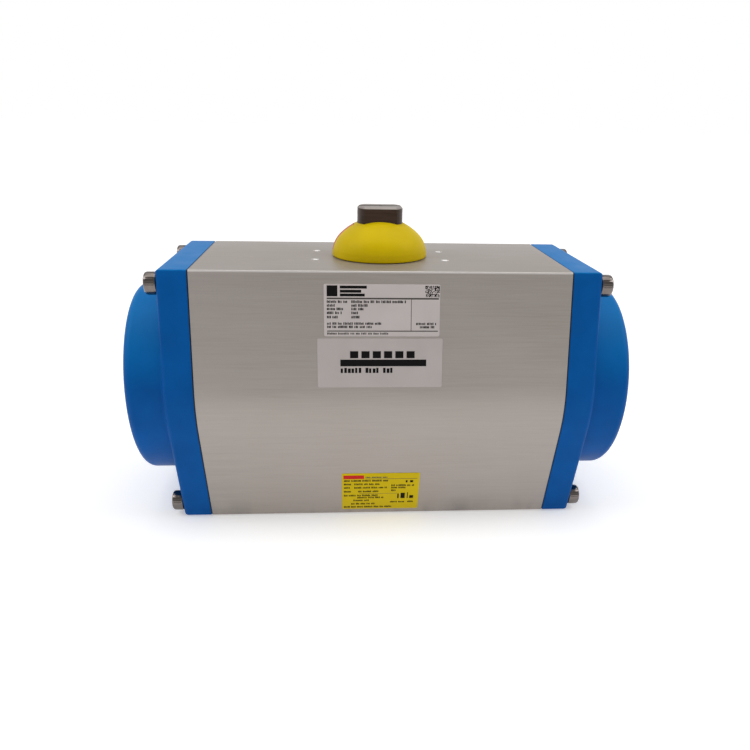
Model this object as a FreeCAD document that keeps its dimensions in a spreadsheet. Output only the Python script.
import FreeCAD, Part
import math
import os
import re
import Sketcher

# A quarter-turn, spring-return, rack-and-pinion pneumatic actuator.
# Millimetres.  The origin is the centre of the bottom mounting face, on the drive
# axis.  +Z points up the drive shaft and X runs along the cylinder.

SIZES = {
    # extruded housing
    "body_length": 220, "body_height": 160, "bore_height": 80, "bore_r": 59,
    "flank_r": 66.3, "flank_angle": 13, "corner_r": 1,
    # end caps and their gaskets
    "gasket_thick": 0.8, "gasket_inset": 0.5, "flange_thick": 17.5, "rim_r": 2.5,
    "dome_r": 61, "dome_end": 152.5, "dome_end_r": 5, "dome_root_r": 2.5,
    "cavity_r": 54, "cavity_end": 146.5, "spigot_r": 58.7, "spigot_length": 4,
    # cap screws, M8
    "cap_screw_y": 44.2, "cap_screw_z": 71.2, "cap_screw_head_r": 6.5, "cap_screw_head_h": 7,
    "cap_screw_shank_r": 3.9, "cap_screw_reach": 22, "cap_screw_key": 6,
    # shaft bearings and seals
    "low_r": 24, "low_bush_r": 26.5, "low_land": 9, "low_bush_top": 20.5,
    "top_r": 17, "top_bush_r": 19.5, "top_land": 151, "top_bush_bottom": 141.5,
    "run_gap": 0.05, "seal_wire": 1.3, "low_seal_z": 6.3, "top_seal_z": 155,
    # pinion
    "pinion_bottom": 3.4, "low_journal_top": 55.5, "gear_bottom": 57, "gear_top": 103,
    "gear_teeth": 16, "gear_module": 2.5, "gear_backlash": 0.24, "drive_square": 22, "drive_depth": 24,
    "neck_z": 165, "tab_r": 14, "tab_thick": 20, "tab_edge": 1.1, "shaft_top": 190,
    "slot_wide": 4, "slot_deep": 3, "tap_r": 2.5, "tap_depth": 12,
    # thrust ring and snap ring over the top face
    "thrust_r": 21, "thrust_h": 2, "snap_r": 19.6, "snap_h": 1.6, "snap_groove_r": 15.8,
    # stop cam and stop screws, M10
    "cam_bottom": 105, "cam_top": 119, "cam_r": 29, "cam_hub_r": 20.5, "cam_stop": 9.8,
    "stop_x": 22, "stop_z": 112, "stop_tip_y": 10, "stop_end_y": 80, "stop_r": 4.9,
    "stop_boss_r": 10, "stop_boss_y": 66, "stop_washer_h": 2, "stop_nut_h": 8, "stop_nut_key": 17,
    # pistons and racks
    "piston_r": 58.6, "piston_in": 42, "piston_out": 70, "rack_half_h": 22, "rack_end": 41,
    "rack_back": 48, "rack_teeth": 7, "pocket_r": 14, "pocket_floor": 64,
    "ring_seat_r": 55.4, "seal_from": 60, "seal_to": 64, "guide_from": 48, "guide_to": 57,
    "pad_from": 36, "pad_to": 6, "pad_half_h": 18,
    # springs
    "spring_r": 11, "spring_wire": 1.9, "spring_turns": 7.5, "spring_ring_r": 36, "seat_thick": 3,
    "seat_r": 13.2, "seat_peg_r": 8.6, "seat_peg_h": 6,
    # mounting holes
    "pilot_r": 27.5, "pilot_depth": 3, "f07_pcd": 70, "f07_hole_r": 3.4, "f07_depth": 14,
    "f10_pcd": 102, "f10_hole_r": 4.25, "f10_depth": 18,
    "top_row_x": 80, "top_row_y": 30, "top_hole_r": 2.1, "top_hole_depth": 12,
    # solenoid valve pad and air ways
    "valve_y": 70, "valve_half_x": 32, "valve_half_z": 21.5, "valve_row_x": 32, "valve_row_z": 24,
    "valve_hole_r": 2.1, "valve_hole_depth": 9, "port_x": 12, "port_r": 5.9, "port_depth": 7,
    "air_way_r": 1.8, "gallery_y": 53.5, "gallery_rise": 38, "gallery_r": 2.5, "channel_half": 2.5,
    # indicator
    "dome_gap": 0.4, "cover_r": 29.6, "cover_rim": 1.2, "cover_rise": 21.6, "cover_side_r": 16,
    "cover_hollow_r": 23.5, "cover_hollow_h": 7, "insert_low": 3.5, "insert_high": 18.5,
    "insert_thick": 1.5, "insert_start": 88, "insert_sweep": 100,
    # labels on the front flank: edges along X, and heights from the bore axis
    "label_thick": 0.2,
    "spec_left": -34.4, "spec_right": 32.5, "spec_low": 44.2, "spec_high": 73,
    "maker_left": -38.5, "maker_right": 34.5, "maker_low": 15.2, "maker_high": 43,
    "model_left": -25, "model_right": 25.1, "model_low": -76.5, "model_high": -46,
}

doc = FreeCAD.newDocument("rotary_actuator")
dims = doc.addObject("Spreadsheet::Sheet", "dims")
for row, (name, number) in enumerate(SIZES.items(), start=1):
    dims.set("A%d" % row, name)
    dims.set("B%d" % row, str(number))
    dims.setAlias("B%d" % row, name)
doc.recompute()

WORD = re.compile(r"[a-z_][a-z_0-9]*")
AXIS_TURN = {
    "Z": FreeCAD.Rotation(),
    "X": FreeCAD.Rotation(FreeCAD.Vector(0, 1, 0), 90),
    "Y": FreeCAD.Rotation(FreeCAD.Vector(1, 0, 0), -90),
}
NODES = {}


# ---- general helpers ---------------------------------------------------------

def value(formula):
    """The number a formula of sheet names gives."""
    return float(dims.evalExpression(formula))


def linked(formula):
    """The same formula with each sheet name pointing at the sheet."""
    return WORD.sub(lambda m: "dims." + m.group(0) if m.group(0) in SIZES else m.group(0), formula)


def bind(thing, prop, formula):
    thing.setExpression(prop, linked(formula))


def place(thing, spot, turn=None):
    """Puts a piece at a spot given as three formulas."""
    if turn is not None:
        thing.Placement = FreeCAD.Placement(FreeCAD.Vector(), turn)
    for letter, formula in zip("xyz", spot):
        if formula != "0":
            bind(thing, "Placement.Base." + letter, formula)
    return thing


def rod(name, radius, length, spot, axis="Z"):
    thing = doc.addObject("Part::Cylinder", name)
    bind(thing, "Radius", radius)
    bind(thing, "Height", length)
    return place(thing, spot, AXIS_TURN[axis])


def block(name, size, spot):
    """A box with its low corner at the spot."""
    thing = doc.addObject("Part::Box", name)
    for prop, formula in zip(("Length", "Width", "Height"), size):
        bind(thing, prop, formula)
    return place(thing, spot)


def hexagon(name, across_flats, length, spot, axis):
    thing = doc.addObject("Part::Prism", name)
    thing.Polygon = 6
    bind(thing, "Circumradius", "(%s) / 2 / cos(30)" % across_flats)
    bind(thing, "Height", length)
    return place(thing, spot, AXIS_TURN[axis])


def ring_seal(name, radius, wire, spot, axis="Z"):
    thing = doc.addObject("Part::Torus", name)
    bind(thing, "Radius1", radius)
    bind(thing, "Radius2", wire)
    return place(thing, spot, AXIS_TURN[axis])


def joined(name, things):
    thing = doc.addObject("Part::MultiFuse", name)
    thing.Shapes = things
    thing.Refine = True
    return thing


def carved(name, base, tools):
    thing = doc.addObject("Part::Cut", name)
    thing.Base = base
    thing.Tool = tools[0] if len(tools) == 1 else joined(name + "_cutters", tools)
    thing.Refine = True
    return thing


def common(name, first, second):
    thing = doc.addObject("Part::MultiCommon", name)
    thing.Shapes = [first, second]
    thing.Refine = True
    return thing


def group(name, things):
    thing = doc.addObject("Part::Compound", name)
    thing.Links = things
    return thing


def mirrored(name, source, normal=(1, 0, 0)):
    thing = doc.addObject("Part::Mirroring", name)
    thing.Source = source
    thing.Base = FreeCAD.Vector(0, 0, 0)
    thing.Normal = FreeCAD.Vector(*normal)
    return thing


def half_turned(name, source):
    """A copy turned half a turn about the drive axis."""
    across = mirrored(name + "_across", source, (1, 0, 0))
    return mirrored(name + "_round", across, (0, 1, 0))


def node(name, thing):
    """Keeps a finished piece to be written to its own file."""
    thing.Label = name
    NODES[name] = thing
    return thing


def new_body(name):
    return doc.addObject("PartDesign::Body", name)


def origin_plane(body, role):
    return next(feature for feature in body.Origin.OriginFeatures if feature.Role == role)


def outline(body, name, role, corners, arcs=None):
    """A closed sketch through corners given as formulas.

    arcs maps an edge number to (centre across, centre up, turns left): that edge
    is an arc about the centre instead of a straight line."""
    arcs = arcs or {}
    sketch = body.newObject("Sketcher::SketchObject", name)
    sketch.AttachmentSupport = [(origin_plane(body, role), "")]
    sketch.MapMode = "FlatFace"
    spots = [(value(across), value(up)) for across, up in corners]
    count = len(spots)
    ends = []
    for i, start in enumerate(spots):
        finish = spots[(i + 1) % count]
        if i in arcs:
            centre = (value(arcs[i][0]), value(arcs[i][1]))
            left = arcs[i][2]
            first, last = (start, finish) if left else (finish, start)
            angle_a = math.atan2(first[1] - centre[1], first[0] - centre[0])
            angle_b = math.atan2(last[1] - centre[1], last[0] - centre[0])
            if angle_b <= angle_a:
                angle_b += 2 * math.pi
            circle = Part.Circle(FreeCAD.Vector(centre[0], centre[1], 0), FreeCAD.Vector(0, 0, 1),
                                 math.hypot(start[0] - centre[0], start[1] - centre[1]))
            sketch.addGeometry(Part.ArcOfCircle(circle, angle_a, angle_b), False)
            ends.append((1, 2) if left else (2, 1))
        else:
            line = Part.LineSegment(FreeCAD.Vector(start[0], start[1], 0),
                                    FreeCAD.Vector(finish[0], finish[1], 0))
            sketch.addGeometry(line, False)
            ends.append((1, 2))
    for i in range(count):
        after = (i + 1) % count
        sketch.addConstraint(Sketcher.Constraint("Coincident", i, ends[i][1], after, ends[after][0]))

    def fix(kind, edge, end, number, formula):
        index = sketch.addConstraint(Sketcher.Constraint(kind, -1, 1, edge, end, number))
        bind(sketch, "Constraints[%d]" % index, formula)

    for i, (across, up) in enumerate(corners):
        before = (i - 1) % count
        free = ""
        if before in arcs:
            reach_x = abs(spots[i][0] - value(arcs[before][0]))
            reach_y = abs(spots[i][1] - value(arcs[before][1]))
            free = "across" if reach_x >= reach_y else "up"
        if free != "across":
            fix("DistanceX", i, ends[i][0], spots[i][0], across)
        if free != "up":
            fix("DistanceY", i, ends[i][0], spots[i][1], up)
    for i, (across, up, _) in arcs.items():
        fix("DistanceX", i, 3, value(across), across)
        fix("DistanceY", i, 3, value(up), up)
    return sketch


def pad(body, sketch, length, both_ways=False):
    feature = body.newObject("PartDesign::Pad", sketch.Name + "_pad")
    feature.Profile = sketch
    bind(feature, "Length", length)
    if both_ways:
        feature.SideType = "Symmetric"
    body.Tip = feature
    return feature


def turned(name, corners, arcs=None, along="Z", sweep=None):
    """A piece turned about Z from (radius, height) corners, or about X from
    (distance along, radius) corners."""
    body = new_body(name)
    sketch = outline(body, name + "_outline", "XZ_Plane", corners, arcs)
    feature = body.newObject("PartDesign::Revolution", name + "_turning")
    feature.Profile = sketch
    feature.ReferenceAxis = (sketch, ["V_Axis" if along == "Z" else "H_Axis"])
    feature.Angle = 360
    if sweep:
        bind(feature, "Angle", sweep)
    body.Tip = feature
    if along == "X":
        bind(body, "Placement.Base.z", "bore_height")
    return body


def tube(name, inner, outer, low, high, along="Z"):
    corners = [(inner, low), (outer, low), (outer, high), (inner, high)]
    if along == "X":
        corners = [(up, across) for across, up in corners]
    return turned(name, corners, along=along)


def edges_where(feature, test):
    doc.recompute()
    return ["Edge%d" % i for i, edge in enumerate(feature.Shape.Edges, start=1) if test(edge)]


def round_edges(body, feature, test, radius):
    names = edges_where(feature, test)
    fillet = body.newObject("PartDesign::Fillet", feature.Name + "_round")
    fillet.Base = (feature, names)
    bind(fillet, "Radius", radius)
    body.Tip = fillet
    return fillet


def runs_along_x(edge):
    if edge.Curve.TypeId != "Part::GeomLine" or edge.Length < 1:
        return False
    corner = min(abs(edge.CenterOfMass.z), abs(edge.CenterOfMass.z - SIZES["body_height"]))
    return abs(abs(edge.tangentAt(edge.FirstParameter).x) - 1) < 1e-6 and corner < 1


# ---- the section shared by housing, caps and gaskets --------------------------

def section_outline(body, name, inset="0"):
    """A round belly about the bore with straight flanks that lean in to flat ends."""
    belly = "(flank_r - %s)" % inset
    wide = "%s * cos(flank_angle)" % belly
    rise = "%s * sin(flank_angle)" % belly
    end = "(body_height / 2 - %s)" % inset
    narrow = "(%s - tan(flank_angle) * (%s - %s))" % (wide, end, rise)
    corners = [
        (narrow, "bore_height + " + end),
        ("-" + narrow, "bore_height + " + end),
        ("-" + wide, "bore_height + " + rise),
        ("-" + wide, "bore_height - " + rise),
        ("-" + narrow, "bore_height - " + end),
        (narrow, "bore_height - " + end),
        (wide, "bore_height - " + rise),
        (wide, "bore_height + " + rise),
    ]
    arcs = {2: ("0", "bore_height", True), 6: ("0", "bore_height", True)}
    return outline(body, name, "YZ_Plane", corners, arcs)


def cap_screw_spots():
    for y_sign in ("-", ""):
        for z_sign in ("-", "+"):
            yield y_sign + "cap_screw_y", "bore_height %s cap_screw_z" % z_sign


SQUARE_CORNERS = [(1, 1), (-1, 1), (-1, -1), (1, -1)]


# ---- housing ------------------------------------------------------------------

def make_housing():
    body = new_body("extrusion")
    long_pad = pad(body, section_outline(body, "extrusion_section"), "body_length", both_ways=True)
    round_edges(body, long_pad, runs_along_x, "corner_r")

    valve_pad = block("valve_pad", ("2 * valve_half_x", "valve_y - 40", "2 * valve_half_z"),
                      ("-valve_half_x", "40", "bore_height - valve_half_z"))
    bosses = [rod("stop_boss_%d" % i, "stop_boss_r", "stop_boss_y - 40",
                  (sign + "stop_x", "40", "stop_z"), "Y") for i, sign in enumerate(("-", ""))]
    solid = joined("housing_solid", [body, valve_pad] + bosses)

    cuts = [
        rod("cylinder_bore", "bore_r", "body_length + 2", ("-body_length / 2 - 1", "0", "bore_height"), "X"),
        rod("pilot_recess", "pilot_r", "pilot_depth + 1", ("0", "0", "-1")),
        rod("low_seal_land", "low_r + run_gap", "low_land + 1", ("0", "0", "0")),
        rod("low_bush_seat", "low_bush_r", "30 - low_land", ("0", "0", "low_land")),
        rod("top_bush_seat", "top_bush_r", "top_land - 130", ("0", "0", "130")),
        rod("top_seal_land", "top_r + run_gap", "body_height - top_land + 2", ("0", "0", "top_land - 1")),
        rod("gallery", "gallery_r", "body_length + 2",
            ("-body_length / 2 - 1", "gallery_y", "bore_height + gallery_rise"), "X"),
        rod("port_open", "port_r", "port_depth + 1",
            ("-port_x", "valve_y - port_depth", "bore_height"), "Y"),
        rod("port_open_way", "3", "20", ("-port_x", "50", "bore_height"), "Y"),
        rod("port_close", "port_r", "port_depth + 1",
            ("port_x", "valve_y - port_depth", "bore_height"), "Y"),
    ]
    # the closing port feeds the gallery through a slanted drilling inside the wall
    lean = math.degrees(math.atan2(value("64.5 - gallery_y"), value("gallery_rise")))
    air_way = rod("port_close_way", "air_way_r", "sqrt(gallery_rise ^ 2 + (64.5 - gallery_y) ^ 2)",
                  ("port_x", "64.5", "bore_height"))
    air_way.Placement.Rotation = FreeCAD.Rotation(FreeCAD.Vector(1, 0, 0), lean)
    cuts.append(air_way)

    for i, sign in enumerate(("-", "")):
        cuts.append(rod("stop_hole_%d" % i, "5", "30", (sign + "stop_x", "40", "stop_z"), "Y"))
    for i, (sx, sy) in enumerate(SQUARE_CORNERS):
        cuts.append(rod("f07_hole_%d" % i, "f07_hole_r", "f07_depth + 1",
                        ("%d * f07_pcd / 2 * cos(45)" % sx, "%d * f07_pcd / 2 * sin(45)" % sy, "-1")))
        cuts.append(rod("f10_hole_%d" % i, "f10_hole_r", "f10_depth + 1",
                        ("%d * f10_pcd / 2 * cos(45)" % sx, "%d * f10_pcd / 2 * sin(45)" % sy, "-1")))
        cuts.append(rod("top_hole_%d" % i, "top_hole_r", "top_hole_depth + 1",
                        ("%d * top_row_x / 2" % sx, "%d * top_row_y / 2" % sy,
                         "body_height - top_hole_depth")))
        cuts.append(rod("valve_hole_%d" % i, "valve_hole_r", "valve_hole_depth + 1",
                        ("%d * valve_row_x / 2" % sx, "valve_y - valve_hole_depth",
                         "bore_height + %d * valve_row_z / 2" % sy), "Y"))
    for side, start in (("left", "-body_length / 2 - 1"), ("right", "body_length / 2 - cap_screw_reach")):
        for i, (y, z) in enumerate(cap_screw_spots()):
            cuts.append(rod("screw_hole_%s_%d" % (side, i), "4", "cap_screw_reach + 1", (start, y, z), "X"))
    node("body_housing", carved("body_housing", solid, cuts))


# ---- end caps, gaskets and cap screws ------------------------------------------

CAP_FACE = "(body_length / 2 + gasket_thick)"
FLANGE_FACE = "(body_length / 2 + gasket_thick + flange_thick)"


def make_cap():
    body = new_body("cap_flange")
    flange = pad(body, section_outline(body, "cap_section"), "flange_thick")
    rounded = round_edges(body, flange, runs_along_x, "corner_r")
    far = value("flange_thick")

    def on_outer_rim(edge):
        return all(abs(vertex.X - far) < 1e-6 for vertex in edge.Vertexes)

    round_edges(body, rounded, on_outer_rim, "rim_r")
    bind(body, "Placement.Base.x", CAP_FACE)

    barrel = turned("cap_barrel", [
        (CAP_FACE, "0"),
        ("dome_end", "0"),
        ("dome_end", "dome_r - dome_end_r"),
        ("dome_end - dome_end_r", "dome_r"),
        (FLANGE_FACE + " + dome_root_r", "dome_r"),
        (FLANGE_FACE, "dome_r + dome_root_r"),
        (CAP_FACE, "dome_r + dome_root_r"),
    ], {
        2: ("dome_end - dome_end_r", "dome_r - dome_end_r", True),
        4: (FLANGE_FACE + " + dome_root_r", "dome_r + dome_root_r", False),
    }, along="X")
    spigot = rod("cap_spigot", "spigot_r", "spigot_length + 2",
                 (CAP_FACE + " - spigot_length", "0", "bore_height"), "X")
    solid = joined("cap_solid", [body, barrel, spigot])

    cuts = [rod("cap_cavity", "cavity_r", "cavity_end - body_length / 2 + spigot_length + 2",
                ("body_length / 2 - spigot_length - 2", "0", "bore_height"), "X")]
    for i, (y, z) in enumerate(cap_screw_spots()):
        cuts.append(rod("cap_screw_way_%d" % i, "4.3", "flange_thick + 2", ("body_length / 2", y, z), "X"))
    # the air channel from the housing's gallery into the cap
    steer = math.degrees(math.atan2(value("gallery_rise"), value("gallery_y")))
    channel = group("cap_channel", [block("cap_channel_block", ("8", "14", "2 * channel_half"),
                                          ("0", "-14", "-channel_half"))])
    place(channel, ("body_length / 2 - spigot_length - 1", "gallery_y + 3 * cos(%.4f)" % steer,
                    "bore_height + gallery_rise + 3 * sin(%.4f)" % steer),
          FreeCAD.Rotation(FreeCAD.Vector(1, 0, 0), steer))
    cuts.append(channel)
    right = node("end_cap_right", carved("end_cap_right", solid, cuts))
    node("end_cap_left", mirrored("end_cap_left", right))


def make_gasket():
    body = new_body("gasket_sheet")
    pad(body, section_outline(body, "gasket_section", "gasket_inset"), "gasket_thick")
    bind(body, "Placement.Base.x", "body_length / 2")
    cuts = [
        rod("gasket_window", "bore_r + 0.2", "gasket_thick + 2",
            ("body_length / 2 - 1", "0", "bore_height"), "X"),
        rod("gasket_air_hole", "3", "gasket_thick + 2",
            ("body_length / 2 - 1", "gallery_y", "bore_height + gallery_rise"), "X"),
    ]
    for i, (y, z) in enumerate(cap_screw_spots()):
        cuts.append(rod("gasket_hole_%d" % i, "4.5", "gasket_thick + 2", ("body_length / 2 - 1", y, z), "X"))
    right = node("end_cap_gasket_right", carved("end_cap_gasket_right", body, cuts))
    node("end_cap_gasket_left", mirrored("end_cap_gasket_left", right))


def make_cap_screws():
    screws = []
    for i, (y, z) in enumerate(cap_screw_spots()):
        head = rod("cap_head_%d" % i, "cap_screw_head_r", "cap_screw_head_h", (FLANGE_FACE, y, z), "X")
        shank = rod("cap_shank_%d" % i, "cap_screw_shank_r",
                    "flange_thick + gasket_thick + cap_screw_reach - 1",
                    ("body_length / 2 - cap_screw_reach + 2", y, z), "X")
        socket = hexagon("cap_key_%d" % i, "cap_screw_key", "4",
                         (FLANGE_FACE + " + cap_screw_head_h - 3.5", y, z), "X")
        whole = joined("cap_screw_whole_%d" % i, [head, shank])
        rounded = doc.addObject("Part::Fillet", "cap_screw_rounded_%d" % i)
        rounded.Base = whole
        doc.recompute()
        face_x = value(FLANGE_FACE + " + cap_screw_head_h")
        rim = [(k, 0.8, 0.8) for k, edge in enumerate(whole.Shape.Edges, start=1)
               if abs(edge.CenterOfMass.x - face_x) < 1e-6]
        rounded.Edges = rim
        screws.append(carved("cap_screw_%d" % i, rounded, [socket]))
    right = node("cap_screws_right", group("cap_screws_right", screws))
    node("cap_screws_left", mirrored("cap_screws_left", right))


# ---- shaft bearings, rings and seals ---------------------------------------------

def make_shaft_parts():
    node("lower_bearing_bush", tube("lower_bearing_bush", "low_r + run_gap", "low_bush_r",
                                    "low_land", "low_bush_top"))
    node("upper_bearing_bush", tube("upper_bearing_bush", "top_r + run_gap", "top_bush_r",
                                    "top_bush_bottom", "top_land"))
    node("lower_shaft_seal", ring_seal("lower_shaft_seal", "low_r - seal_wire", "seal_wire",
                                       ("0", "0", "low_seal_z")))
    node("upper_shaft_seal", ring_seal("upper_shaft_seal", "top_r - seal_wire", "seal_wire",
                                       ("0", "0", "top_seal_z")))
    node("inner_thrust_washer", tube("inner_thrust_washer", "top_r + 0.3", "cam_hub_r",
                                     "cam_top", "cam_top + 2"))
    node("top_thrust_ring", tube("top_thrust_ring", "top_r + 0.3", "thrust_r",
                                 "body_height", "body_height + thrust_h"))
    # the snap ring is open at the back
    whole = tube("snap_whole", "snap_groove_r", "snap_r", "body_height + thrust_h + 0.1",
                 "body_height + thrust_h + 0.1 + snap_h")
    gap = block("snap_gap", ("8", "30", "10"), ("-4", "0", "body_height"))
    node("snap_ring", carved("snap_ring", whole, [gap]))


# ---- pinion ------------------------------------------------------------------------

def gear_shape():
    """Involute teeth about Z with one tooth pointing along -Y."""
    teeth = int(value("gear_teeth"))
    pitch_r = value("gear_teeth * gear_module / 2")
    tip_r = pitch_r + value("gear_module")
    root_r = pitch_r - 1.25 * value("gear_module")
    base_r = pitch_r * math.cos(math.radians(20))
    low, high = value("gear_bottom"), value("gear_top")

    def involute(angle):
        return math.tan(angle) - angle

    half_tooth = (math.pi / 2 / teeth - value("gear_backlash") / 4 / pitch_r) + involute(math.radians(20))

    def flank_angle_at(radius):
        if radius <= base_r:
            return half_tooth
        return half_tooth - involute(math.acos(base_r / radius))

    def spot(radius, angle):
        return FreeCAD.Vector(radius * math.cos(angle), radius * math.sin(angle), low)

    radii = [base_r + (tip_r - base_r) * k / 5.0 for k in range(6)]
    edges = []
    for tooth in range(teeth):
        middle = -math.pi / 2 + tooth * 2 * math.pi / teeth
        following = middle + 2 * math.pi / teeth
        rising = [spot(r, middle - flank_angle_at(r)) for r in radii]
        falling = [spot(r, middle + flank_angle_at(r)) for r in reversed(radii)]
        left = Part.BSplineCurve()
        left.interpolate(rising)
        right = Part.BSplineCurve()
        right.interpolate(falling)
        edges.append(Part.LineSegment(spot(root_r, middle - half_tooth), rising[0]).toShape())
        edges.append(left.toShape())
        edges.append(Part.Arc(rising[-1], spot(tip_r, middle), falling[0]).toShape())
        edges.append(right.toShape())
        edges.append(Part.LineSegment(falling[-1], spot(root_r, middle + half_tooth)).toShape())
        edges.append(Part.Arc(spot(root_r, middle + half_tooth),
                              spot(root_r, (middle + following) / 2),
                              spot(root_r, following - half_tooth)).toShape())
    return Part.Face(Part.Wire(edges)).extrude(FreeCAD.Vector(0, 0, high - low))


def tab_flats():
    """Cutters that leave the two flats of the tab, with their top edges chamfered."""
    body = new_body("tab_flat")
    profile = outline(body, "tab_flat_outline", "YZ_Plane", [
        ("tab_thick / 2", "neck_z"),
        ("tab_r + 2", "neck_z"),
        ("tab_r + 2", "shaft_top + 1"),
        ("tab_thick / 2 - tab_edge - 1", "shaft_top + 1"),
        ("tab_thick / 2", "shaft_top - tab_edge"),
    ])
    pad(body, profile, "60", both_ways=True)
    return [body, mirrored("tab_flat_front", body, (0, 1, 0))]


def make_pinion():
    seal_half = "(seal_wire + 0.1)"
    snap_low = "body_height + thrust_h + 0.05"
    snap_high = "body_height + thrust_h + 0.15 + snap_h"
    shaft = turned("pinion_shaft", [
        ("0", "pinion_bottom"),
        ("low_r - 0.8", "pinion_bottom"),
        ("low_r", "pinion_bottom + 0.8"),
        ("low_r", "low_seal_z - " + seal_half),
        ("low_r - 2 * seal_wire", "low_seal_z - " + seal_half),
        ("low_r - 2 * seal_wire", "low_seal_z + " + seal_half),
        ("low_r", "low_seal_z + " + seal_half),
        ("low_r", "low_journal_top"),
        ("17.5", "low_journal_top"),
        ("17.5", "gear_bottom"),
        ("16", "gear_bottom"),
        ("16", "gear_top"),
        ("top_r", "gear_top"),
        ("top_r", "top_seal_z - " + seal_half),
        ("top_r - 2 * seal_wire", "top_seal_z - " + seal_half),
        ("top_r - 2 * seal_wire", "top_seal_z + " + seal_half),
        ("top_r", "top_seal_z + " + seal_half),
        ("top_r", snap_low),
        ("snap_groove_r", snap_low),
        ("snap_groove_r", snap_high),
        ("top_r", snap_high),
        ("top_r", "neck_z"),
        ("tab_r", "neck_z"),
        ("tab_r", "shaft_top - tab_edge"),
        ("tab_r - tab_edge", "shaft_top"),
        ("0", "shaft_top"),
    ])
    teeth = doc.addObject("Part::Feature", "pinion_teeth")
    teeth.Shape = gear_shape()
    blank = joined("pinion_blank", [shaft, teeth])
    cuts = []
    half = "drive_square / 2"
    for i, angle in enumerate((0, 45)):
        square = doc.addObject("Part::Prism", "drive_square_%d" % i)
        square.Polygon = 4
        bind(square, "Circumradius", half + " * sqrt(2)")
        bind(square, "Height", "drive_depth + 1")
        turn = FreeCAD.Rotation(FreeCAD.Vector(0, 0, 1), angle)
        cuts.append(place(square, ("0", "0", "pinion_bottom - 1"), turn))
    cuts += tab_flats()
    cuts.append(block("tab_slot", ("60", "slot_wide", "slot_deep + 1"),
                      ("-30", "-slot_wide / 2", "shaft_top - slot_deep")))
    cuts.append(rod("tab_tap", "tap_r", "tap_depth + 1", ("0", "0", "shaft_top - tap_depth")))
    node("pinion", carved("pinion", blank, cuts))


def make_stop_cam():
    hub = rod("cam_hub", "cam_hub_r - 3", "cam_top - cam_bottom", ("0", "0", "cam_bottom"))
    disc = rod("cam_disc", "cam_r", "cam_top - cam_bottom", ("0", "0", "cam_bottom"))
    keep = block("cam_keep", ("60", "60", "60"), ("cam_stop - 60", "cam_stop - 60", "cam_bottom - 20"))
    sector = common("cam_sector", disc, keep)
    whole = joined("cam_whole", [hub, sector])
    hole = rod("cam_hole", "top_r", "60", ("0", "0", "cam_bottom - 20"))
    node("stop_cam", carved("stop_cam", whole, [hole]))


def make_stop_screws():
    screws, nuts, washers = [], [], []
    for i, sign in enumerate(("-", "")):
        x = sign + "stop_x"
        thread = turned("stop_thread_%d" % i, [
            ("0", "stop_tip_y"),
            ("stop_r - 1", "stop_tip_y"),
            ("stop_r", "stop_tip_y + 1"),
            ("stop_r", "stop_end_y - 1"),
            ("stop_r - 1", "stop_end_y"),
            ("0", "stop_end_y"),
        ])
        place(thread, (x, "0", "stop_z"), AXIS_TURN["Y"])
        key = hexagon("stop_key_%d" % i, "5", "6", (x, "stop_end_y - 5", "stop_z"), "Y")
        screws.append(carved("stop_screw_%d" % i, thread, [key]))
        washers.append(carved("stop_washer_%d" % i,
                              rod("stop_washer_disc_%d" % i, "8.6", "stop_washer_h",
                                  (x, "stop_boss_y", "stop_z"), "Y"),
                              [rod("stop_washer_hole_%d" % i, "5", "20",
                                   (x, "stop_boss_y - 5", "stop_z"), "Y")]))
        nut = hexagon("stop_nut_hex_%d" % i, "stop_nut_key", "stop_nut_h",
                      (x, "stop_boss_y + stop_washer_h", "stop_z"), "Y")
        crown = turned("stop_nut_crown_%d" % i, [
            ("0", "0"), ("stop_nut_key / 2", "0"), ("stop_nut_key / 2 + 1.4", "0.8"),
            ("stop_nut_key / 2 + 1.4", "stop_nut_h - 0.8"), ("stop_nut_key / 2", "stop_nut_h"),
            ("0", "stop_nut_h")])
        place(crown, (x, "stop_boss_y + stop_washer_h", "stop_z"), AXIS_TURN["Y"])
        nuts.append(carved("stop_nut_%d" % i, common("stop_nut_solid_%d" % i, nut, crown),
                           [rod("stop_nut_hole_%d" % i, "5", "30", (x, "stop_boss_y - 5", "stop_z"), "Y")]))
    node("stop_screws", group("stop_screws", screws))
    node("stop_nuts", group("stop_nuts", nuts))
    node("stop_seals", group("stop_seals", washers))


# ---- pistons -------------------------------------------------------------------------

def spring_spots():
    yield "0", "bore_height"
    for sy, sz in SQUARE_CORNERS:
        yield ("%d * spring_ring_r * cos(45)" % sy, "bore_height + %d * spring_ring_r * sin(45)" % sz)


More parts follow.
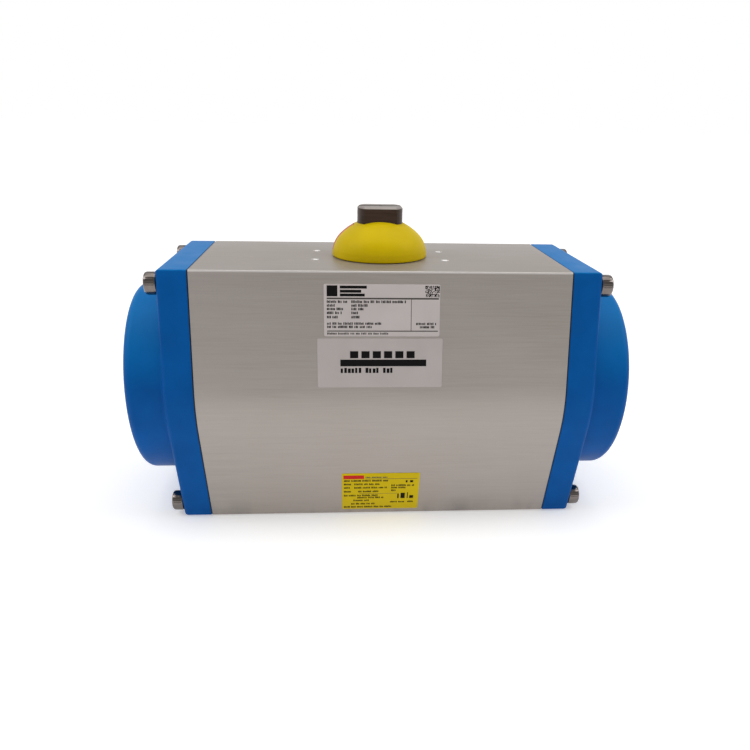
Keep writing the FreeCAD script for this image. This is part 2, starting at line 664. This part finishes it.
def make_piston():
    head = turned("piston_head", [
        ("piston_in", "0"),
        ("piston_in", "piston_r - 1.5"),
        ("piston_in + 1.5", "piston_r"),
        ("guide_from", "piston_r"),
        ("guide_from", "ring_seat_r"),
        ("guide_to", "ring_seat_r"),
        ("guide_to", "piston_r"),
        ("seal_from", "piston_r"),
        ("seal_from", "ring_seat_r"),
        ("seal_to", "ring_seat_r"),
        ("seal_to", "piston_r"),
        ("piston_out - 1.5", "piston_r"),
        ("piston_out", "piston_r - 1.5"),
        ("piston_out", "0"),
    ], along="X")

    pitch = "(pi * gear_module)"
    root_y = "-(gear_teeth * gear_module / 2 + 1.25 * gear_module)"
    tip_y = "-(gear_teeth * gear_module / 2 - gear_module)"
    slant = "tan(20)"
    at_root = "(%s / 4 - gear_backlash / 4 + 1.25 * gear_module * %s)" % (pitch, slant)
    at_tip = "(%s / 4 - gear_backlash / 4 - gear_module * %s)" % (pitch, slant)
    rack = new_body("rack_arm")
    arm = outline(rack, "rack_arm_outline", "XY_Plane", [
        ("-rack_end", "-rack_back"),
        ("piston_in + 2", "-rack_back"),
        ("piston_in + 2", root_y),
        ("-rack_end", root_y),
    ])
    pad(rack, arm, "2 * rack_half_h", both_ways=True)
    first = "(%s * -4.5)" % pitch
    tooth = outline(rack, "rack_tooth_outline", "XY_Plane", [
        ("%s - %s" % (first, at_root), root_y + " - 0.5"),
        ("%s + %s" % (first, at_root), root_y + " - 0.5"),
        ("%s + %s" % (first, at_root), root_y),
        ("%s + %s" % (first, at_tip), tip_y),
        ("%s - %s" % (first, at_tip), tip_y),
        ("%s - %s" % (first, at_root), root_y),
    ])
    first_tooth = pad(rack, tooth, "2 * rack_half_h", both_ways=True)
    row = rack.newObject("PartDesign::LinearPattern", "rack_teeth_row")
    row.Originals = [first_tooth]
    row.Direction = (tooth, ["H_Axis"])
    bind(row, "Length", "(rack_teeth - 1) * pi * gear_module")
    bind(row, "Occurrences", "rack_teeth")
    rack.Tip = row
    bind(rack, "Placement.Base.z", "bore_height")

    solid = joined("piston_solid", [head, rack])
    pockets = [rod("spring_pocket_%d" % i, "pocket_r", "10", ("pocket_floor", y, z), "X")
               for i, (y, z) in enumerate(spring_spots())]
    right = node("piston_right", carved("piston_right", solid, pockets))
    node("piston_left", half_turned("piston_left", right))

    right = node("piston_guide_ring_right",
                 tube("piston_guide_ring_right", "ring_seat_r", "piston_r + 0.1",
                      "guide_from + 0.1", "guide_to - 0.1", along="X"))
    node("piston_guide_ring_left", half_turned("piston_guide_ring_left", right))
    wire = "(piston_r + 0.1 - ring_seat_r) / 2"
    right = node("piston_seal_right",
                 ring_seal("piston_seal_right", "ring_seat_r + " + wire, wire,
                           ("(seal_from + seal_to) / 2", "0", "bore_height"), "X"))
    node("piston_seal_left", half_turned("piston_seal_left", right))

    slab = block("rack_pad_slab", ("pad_from - pad_to", "20", "2 * pad_half_h"),
                 ("-pad_from", "-rack_back - 20", "bore_height - pad_half_h"))
    shell = rod("rack_pad_shell", "piston_r", "200", ("-100", "0", "bore_height"), "X")
    right = node("rack_pad_right", common("rack_pad_right", slab, shell))
    node("rack_pad_left", half_turned("rack_pad_left", right))


# ---- springs ---------------------------------------------------------------------------

def make_springs():
    helix = doc.addObject("Part::Helix", "spring_path")
    bind(helix, "Radius", "spring_r")
    bind(helix, "Height", "cavity_end - seat_thick - pocket_floor - 2 * spring_wire - 0.2")
    bind(helix, "Pitch", "(cavity_end - seat_thick - pocket_floor - 2 * spring_wire - 0.2) / spring_turns")
    wire = doc.addObject("Part::Circle", "spring_wire_section")
    bind(wire, "Radius", "spring_wire")
    place(wire, ("spring_r", "0", "0"), FreeCAD.Rotation(FreeCAD.Vector(1, 0, 0), 90))
    coil = doc.addObject("Part::Sweep", "spring_coil")
    coil.Sections = [wire]
    coil.Spine = (helix, [])
    coil.Solid = True
    coil.Frenet = True
    springs, seats = [], []
    for i, (y, z) in enumerate(spring_spots()):
        copy = group("spring_%d" % i, [coil])
        springs.append(place(copy, ("pocket_floor + spring_wire + 0.1", y, z), AXIS_TURN["X"]))
        seats.append(joined("spring_seat_%d" % i, [
            rod("seat_disc_%d" % i, "seat_r", "seat_thick", ("cavity_end - seat_thick", y, z), "X"),
            rod("seat_peg_%d" % i, "seat_peg_r", "seat_peg_h + 1",
                ("cavity_end - seat_thick - seat_peg_h", y, z), "X"),
        ]))
    right = node("springs_right", group("springs_right", springs))
    node("springs_left", half_turned("springs_left", right))
    right = node("spring_seats_right", group("spring_seats_right", seats))
    node("spring_seats_left", half_turned("spring_seats_left", right))


# ---- position indicator ------------------------------------------------------------------

def make_indicator():
    """A dome of two arcs, oval in section, with an opening that fits the shaft's tab."""
    base = "body_height + dome_gap"
    rim = base + " + cover_rim"
    side_x = "(cover_r - cover_side_r)"
    lift = "(cover_rise - cover_side_r)"
    drop = "((%s ^ 2 - %s ^ 2) / (2 * %s))" % (side_x, lift, lift)
    crown_r = "(cover_rise + %s)" % drop
    side_centre = (side_x, rim)
    crown_centre = ("0", "%s - %s" % (rim, drop))
    meet_angle = "atan(%s / %s)" % (drop, side_x)

    def side_spot(radius, height):
        """A spot level with a height above the base on the side arc, moved in along its radius."""
        angle = "asin((%s - cover_rim) / cover_side_r)" % height
        return "%s + %s * cos(%s)" % (side_x, radius, angle), "%s + %s * sin(%s)" % (rim, radius, angle)

    def meeting(radius):
        """The spot where the side arc, or an arc inside it, runs into the crown."""
        return ("%s + %s * cos(%s)" % (side_x, radius, meet_angle),
                "%s + %s * sin(%s)" % (rim, radius, meet_angle))

    def crown_spot(radius, height):
        angle = "asin((%s - cover_rim + %s) / %s)" % (height, drop, crown_r)
        return "%s * cos(%s)" % (radius, angle), "%s + %s * sin(%s)" % (crown_centre[1], radius, angle)

    dome = turned("cover_dome", [
        ("cover_hollow_r", base),
        ("cover_r", base),
        ("cover_r", rim),
        meeting("cover_side_r"),
        ("0", "%s + cover_rise" % rim),
        ("0", base + " + cover_hollow_h"),
        ("cover_hollow_r", base + " + cover_hollow_h"),
    ], {2: side_centre + (True,), 3: crown_centre + (True,)})
    slab = block("cover_opening_slab", ("60", "tab_thick + 0.2", "60"),
                 ("-30", "-tab_thick / 2 - 0.1", "body_height"))
    round_hole = rod("cover_round_hole", "tab_r + 0.1", "60", ("0", "0", "body_height"))
    opening = common("cover_opening", round_hole, slab)

    def shell(name, grow):
        """The insert, or the window for it when it grows out through the dome."""
        outer_side, inner_side = "(cover_side_r + %s)" % grow, "(cover_side_r - insert_thick)"
        outer_crown, inner_crown = "(%s + %s)" % (crown_r, grow), "(%s - insert_thick)" % crown_r
        body = turned(name, [
            side_spot(outer_side, "insert_low"),
            meeting(outer_side),
            crown_spot(outer_crown, "insert_high"),
            crown_spot(inner_crown, "insert_high"),
            meeting(inner_side),
            side_spot(inner_side, "insert_low"),
        ], {0: side_centre + (True,), 1: crown_centre + (True,),
            3: crown_centre + (False,), 4: side_centre + (False,)}, sweep="insert_sweep")
        doc.recompute()
        if body.Shape.CenterOfMass.y < 0:
            body.Tip.Reversed = True
        body.Placement.Rotation = FreeCAD.Rotation(FreeCAD.Vector(0, 0, 1), SIZES["insert_start"])
        return body

    node("indicator_red_insert", shell("indicator_red_insert", "0"))
    node("indicator_cover", carved("indicator_cover", dome, [opening, shell("cover_window", "1")]))


# ---- labels on the front flank --------------------------------------------------------------

def make_label(name, key, below=False):
    """A thin sheet on the leaning flank, above the belly or below it."""
    sheet = doc.addObject("Part::Box", name + "_sheet")
    bind(sheet, "Length", "%s_right - %s_left" % (key, key))
    bind(sheet, "Width", "label_thick")
    bind(sheet, "Height", "(%s_high - %s_low) / cos(flank_angle)" % (key, key))
    lean, sign = (SIZES["flank_angle"], "-") if below else (-SIZES["flank_angle"], "+")
    rise = "flank_r * sin(flank_angle)"
    flank = "(flank_r * cos(flank_angle) - tan(flank_angle) * (abs(%s_low) - %s))" % (key, rise)
    place(sheet, (key + "_left", "-%s - label_thick * cos(flank_angle)" % flank,
                  "bore_height + %s_low %s label_thick * sin(flank_angle)" % (key, sign)),
          FreeCAD.Rotation(FreeCAD.Vector(1, 0, 0), lean))
    node(name, sheet)


make_housing()
make_cap()
make_gasket()
make_cap_screws()
make_shaft_parts()
make_pinion()
make_stop_cam()
make_stop_screws()
make_piston()
make_springs()
make_indicator()
make_label("spec_label", "spec")
make_label("maker_label", "maker")
make_label("model_label", "model", below=True)

doc.recompute()
for thing in doc.Objects:
    if "Invalid" in thing.State or "Error" in thing.State:
        raise RuntimeError("%s did not build: %s" % (thing.Name, thing.State))
os.makedirs("parts", exist_ok=True)
for name, thing in NODES.items():
    if thing.Shape.isNull() or not thing.Shape.isValid():
        raise RuntimeError("%s has no valid shape" % name)
    thing.Shape.exportStep("parts/%s.step" % name)
    box = thing.Shape.BoundBox
    print("%-26s solids %2d  volume %10.0f  x %.1f..%.1f  y %.1f..%.1f  z %.1f..%.1f" % (
        name, len(thing.Shape.Solids), thing.Shape.Volume,
        box.XMin, box.XMax, box.YMin, box.YMax, box.ZMin, box.ZMax))
